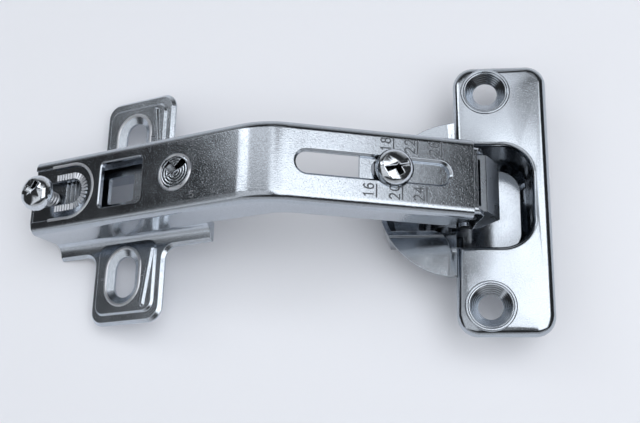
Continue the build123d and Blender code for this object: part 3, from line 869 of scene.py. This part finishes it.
def lay_floor(scene, stage):
    """A plain square floor."""
    half = stage.floor_size / 2
    mesh = bpy.data.meshes.new("floor")
    mesh.from_pydata([(-half, -half, 0), (half, -half, 0), (half, half, 0), (-half, half, 0)], [],
                     [(0, 1, 2, 3)])
    paint, tree, surface = new_material("floor_paint")
    tree.feed(surface.inputs["Base Color"], tuple(stage.floor))
    surface.inputs["Roughness"].default_value = 0.8
    surface.inputs["Specular IOR Level"].default_value = 0.1
    mesh.materials.append(paint)
    floor = bpy.data.objects.new("floor", mesh)
    scene.collection.objects.link(floor)


def hang_lamp(scene, stage):
    """A wide lamp that lights the floor and isn't mirrored in the metal."""
    light = bpy.data.lights.new("fill_light", "AREA")
    light.shape = "DISK"
    light.size = LAMP_SIZE
    light.energy = stage.fill
    lamp = bpy.data.objects.new("fill_light", light)
    scene.collection.objects.link(lamp)
    lamp.location = LAMP_AT
    lamp.rotation_euler = (Vector(LAMP_AIM) - lamp.location).to_track_quat("-Z", "Y").to_euler()
    lamp.visible_glossy = False


def set_camera(scene, stage):
    """Stands the camera off its target, turned round it, raised and rolled."""
    level = math.cos(stage.elevation)
    back = Vector((math.sin(stage.azimuth) * level, -math.cos(stage.azimuth) * level,
                   math.sin(stage.elevation)))
    side = (-back).cross(Vector((0, 0, 1))).normalized()
    above = side.cross(-back)
    right = side * math.cos(stage.roll) + above * math.sin(stage.roll)
    up = above * math.cos(stage.roll) - side * math.sin(stage.roll)
    data = bpy.data.cameras.new("camera")
    data.lens = stage.lens
    data.sensor_width = SENSOR
    data.clip_start = 10 * MM
    camera = bpy.data.objects.new("camera", data)
    scene.collection.objects.link(camera)
    turned = Matrix((right, up, back)).transposed().to_4x4()
    camera.matrix_world = Matrix.Translation(Vector(stage.target) + back * stage.distance) @ turned
    scene.camera = camera


class HINGE_OT_stage(Operator):
    """Makes the floor, the lights and the camera"""
    bl_idname = "hinge.stage"
    bl_label = "Set the stage"

    def execute(self, context):
        scene, stage = context.scene, context.scene.hinge_stage
        scene.view_settings.view_transform = "Standard"
        lay_floor(scene, stage)
        scene.world = bpy.data.worlds.new("studio")
        studio_sky(scene.world, stage)
        hang_lamp(scene, stage)
        set_camera(scene, stage)
        return {"FINISHED"}


# ---------------------------------------------------------------- panel and registration
class HINGE_PT_panel(Panel):
    """Lists the steps that dress the hinge"""
    bl_idname = "HINGE_PT_panel"
    bl_label = "Cup hinge"
    bl_space_type = "VIEW_3D"
    bl_region_type = "UI"
    bl_category = "Hinge"

    def draw(self, context):
        for step in STEPS:
            self.layout.operator(step.bl_idname)
        scene = context.scene
        for settings in (scene.hinge_finish, scene.hinge_marks, scene.hinge_stage):
            box = self.layout.box()
            for name in settings.__annotations__:
                box.prop(settings, name)


STEPS = (
    HINGE_OT_smooth_solids,
    HINGE_OT_plate_sheet,
    HINGE_OT_finish_links,
    HINGE_OT_finish_screws,
    HINGE_OT_stamp_scale,
    HINGE_OT_mark_wings,
    HINGE_OT_press_hole_lips,
    HINGE_OT_press_collars,
    HINGE_OT_stake_rim,
    HINGE_OT_roll_teeth,
    HINGE_OT_wind_thread,
    HINGE_OT_stage,
)
CLASSES = (HingeFinish, HingeMarks, HingeStage, *STEPS, HINGE_PT_panel)


def register():
    for item in CLASSES:
        bpy.utils.register_class(item)
    bpy.types.Scene.hinge_finish = PointerProperty(type=HingeFinish)
    bpy.types.Scene.hinge_marks = PointerProperty(type=HingeMarks)
    bpy.types.Scene.hinge_stage = PointerProperty(type=HingeStage)


def unregister():
    del bpy.types.Scene.hinge_stage
    del bpy.types.Scene.hinge_marks
    del bpy.types.Scene.hinge_finish
    for item in reversed(CLASSES):
        bpy.utils.unregister_class(item)


def main():
    register()
    for step in STEPS:
        group, name = step.bl_idname.split(".")
        getattr(getattr(bpy.ops, group), name)()


if __name__ == "__main__":
    main()
